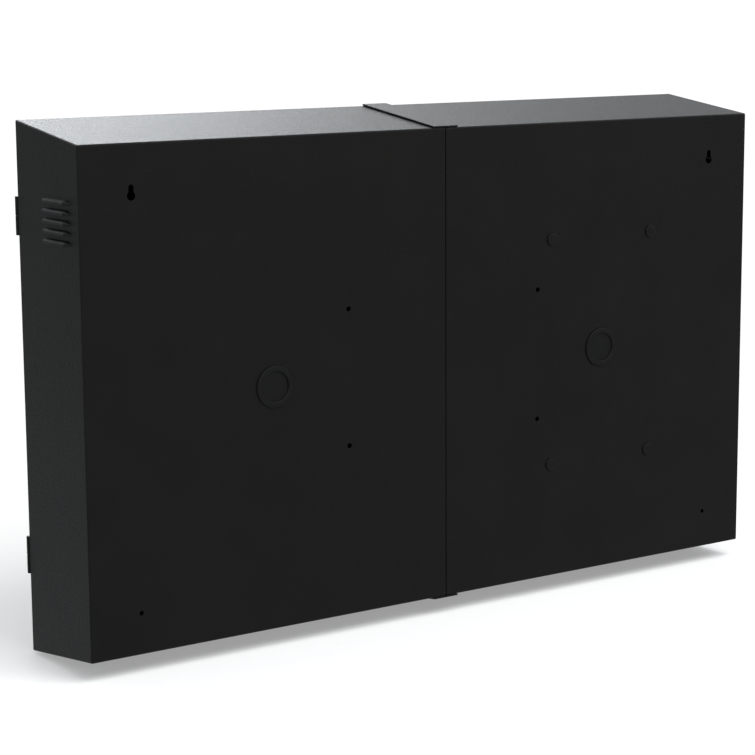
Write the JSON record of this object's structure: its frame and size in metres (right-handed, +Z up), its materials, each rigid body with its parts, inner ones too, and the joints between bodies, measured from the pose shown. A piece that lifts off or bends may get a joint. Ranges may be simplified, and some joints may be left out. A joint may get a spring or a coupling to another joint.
{
  "type": "wall safe",
  "caption": "Wide wall-hung steel safe of joined boxes that flare towards the front, with hinged doors, lever-driven bolts, key locks, side louvres and keyhole wall fixings.",
  "frame": {"origin": "on the rear faces' plane, at the seam between the two boxes, at mid height", "axes": "+X to the right as seen from the front, +Y from the doors towards the wall, +Z up"},
  "size_m": [1.4194, 0.2534, 0.8922],
  "materials": {
    "powder_coat": "fine-textured black powder coat",
    "zinc_steel": "bright zinc plate",
    "satin_chrome": "satin chrome",
    "seal_rubber": "matt black rubber",
    "black_plastic": "fine-grained black plastic",
    "guide_nylon": "natural nylon"
  },
  "bodies": {
    "root": {"bottom_joiner": "powder_coat", "inner_plate": "zinc_steel", "left_bay_shell": "powder_coat", "left_cable_plug": "black_plastic", "left_door_seal": "seal_rubber", "left_lower_hinge_frame_barrel": "powder_coat", "left_lower_hinge_pin": "zinc_steel", "left_upper_hinge_frame_barrel": "powder_coat", "left_upper_hinge_pin": "zinc_steel", "lower_seam_bolt": "zinc_steel", "lower_seam_nut": "zinc_steel", "plate_bolt_1": "powder_coat", "plate_bolt_2": "powder_coat", "plate_bolt_3": "powder_coat", "plate_bolt_4": "powder_coat", "plate_nut_1": "zinc_steel", "plate_nut_2": "zinc_steel", "plate_nut_3": "zinc_steel", "plate_nut_4": "zinc_steel", "right_bay_shell": "powder_coat", "right_cable_plug": "black_plastic", "right_door_seal": "seal_rubber", "right_lower_hinge_frame_barrel": "powder_coat", "right_lower_hinge_pin": "zinc_steel", "right_upper_hinge_frame_barrel": "powder_coat", "right_upper_hinge_pin": "zinc_steel", "top_joiner": "powder_coat", "upper_seam_bolt": "zinc_steel", "upper_seam_nut": "zinc_steel"},
    "right_door": {"right_bottom_bolt_guide": "guide_nylon", "right_door_frame": "powder_coat", "right_door_skin": "powder_coat", "right_lock_barrel": "satin_chrome", "right_lower_hinge_door_barrel": "powder_coat", "right_top_bolt_guide": "guide_nylon", "right_upper_hinge_door_barrel": "powder_coat"},
    "right_handle": {"right_cam_disc": "zinc_steel", "right_handle": "satin_chrome", "right_spindle": "zinc_steel"},
    "right_key": {"right_lock_plug": "satin_chrome", "right_lock_tongue": "zinc_steel"},
    "right_top_bolt": {"right_top_bolt": "zinc_steel"},
    "right_bottom_bolt": {"right_bottom_bolt": "zinc_steel"},
    "right_side_bolt": {"right_side_bolt": "zinc_steel"},
    "left_door": {"left_bottom_bolt_guide": "guide_nylon", "left_door_frame": "powder_coat", "left_door_skin": "powder_coat", "left_lock_barrel": "satin_chrome", "left_lower_hinge_door_barrel": "powder_coat", "left_top_bolt_guide": "guide_nylon", "left_upper_hinge_door_barrel": "powder_coat"},
    "left_handle": {"left_cam_disc": "zinc_steel", "left_handle": "satin_chrome", "left_spindle": "zinc_steel"},
    "left_key": {"left_lock_plug": "satin_chrome", "left_lock_tongue": "zinc_steel"},
    "left_top_bolt": {"left_top_bolt": "zinc_steel"},
    "left_bottom_bolt": {"left_bottom_bolt": "zinc_steel"},
    "left_side_bolt": {"left_side_bolt": "zinc_steel"}
  },
  "joints": [
    {"name": "right_door_hinge", "type": "hinge", "parent": "root", "child": "right_door", "pos_m": [0.699, -0.2207, 0], "axis": [0, 0, 1], "range_deg": [0, 180]},
    {"name": "right_handle_turn", "type": "hinge", "parent": "right_door", "child": "right_handle", "pos_m": [0.095, -0.2234, 0], "axis": [0, 1, 0], "range_deg": [0, 90]},
    {"name": "right_key_turn", "type": "hinge", "parent": "right_door", "child": "right_key", "pos_m": [0.12827, -0.2234, 0.04751], "axis": [0, 1, 0], "range_deg": [0, 90]},
    {"name": "right_top_bolt_slide", "type": "slide", "parent": "right_door", "child": "right_top_bolt", "axis": [0, 0, 1], "range_m": [0, 0.015]},
    {"name": "right_bottom_bolt_slide", "type": "slide", "parent": "right_door", "child": "right_bottom_bolt", "axis": [0, 0, -1], "range_m": [0, 0.015]},
    {"name": "right_side_bolt_slide", "type": "slide", "parent": "right_door", "child": "right_side_bolt", "axis": [-1, 0, 0], "range_m": [0, 0.015]},
    {"name": "left_door_hinge", "type": "hinge", "parent": "root", "child": "left_door", "pos_m": [-0.699, -0.2207, 0], "axis": [0, 0, -1], "range_deg": [0, 180]},
    {"name": "left_handle_turn", "type": "hinge", "parent": "left_door", "child": "left_handle", "pos_m": [-0.095, -0.2234, 0], "axis": [0, -1, 0], "range_deg": [0, 90]},
    {"name": "left_key_turn", "type": "hinge", "parent": "left_door", "child": "left_key", "pos_m": [-0.12827, -0.2234, 0.04751], "axis": [0, -1, 0], "range_deg": [0, 90]},
    {"name": "left_top_bolt_slide", "type": "slide", "parent": "left_door", "child": "left_top_bolt", "axis": [0, 0, 1], "range_m": [0, 0.015]},
    {"name": "left_bottom_bolt_slide", "type": "slide", "parent": "left_door", "child": "left_bottom_bolt", "axis": [0, 0, -1], "range_m": [0, 0.015]},
    {"name": "left_side_bolt_slide", "type": "slide", "parent": "left_door", "child": "left_side_bolt", "axis": [1, 0, 0], "range_m": [0, 0.015]}
  ],
  "couplings": [
    {"joint": "right_top_bolt_slide", "follows": "right_handle_turn", "m_per_rad": 0.009549},
    {"joint": "right_bottom_bolt_slide", "follows": "right_handle_turn", "m_per_rad": 0.009549},
    {"joint": "right_side_bolt_slide", "follows": "right_handle_turn", "m_per_rad": 0.009549},
    {"joint": "left_top_bolt_slide", "follows": "left_handle_turn", "m_per_rad": 0.009549},
    {"joint": "left_bottom_bolt_slide", "follows": "left_handle_turn", "m_per_rad": 0.009549},
    {"joint": "left_side_bolt_slide", "follows": "left_handle_turn", "m_per_rad": 0.009549}
  ]
}
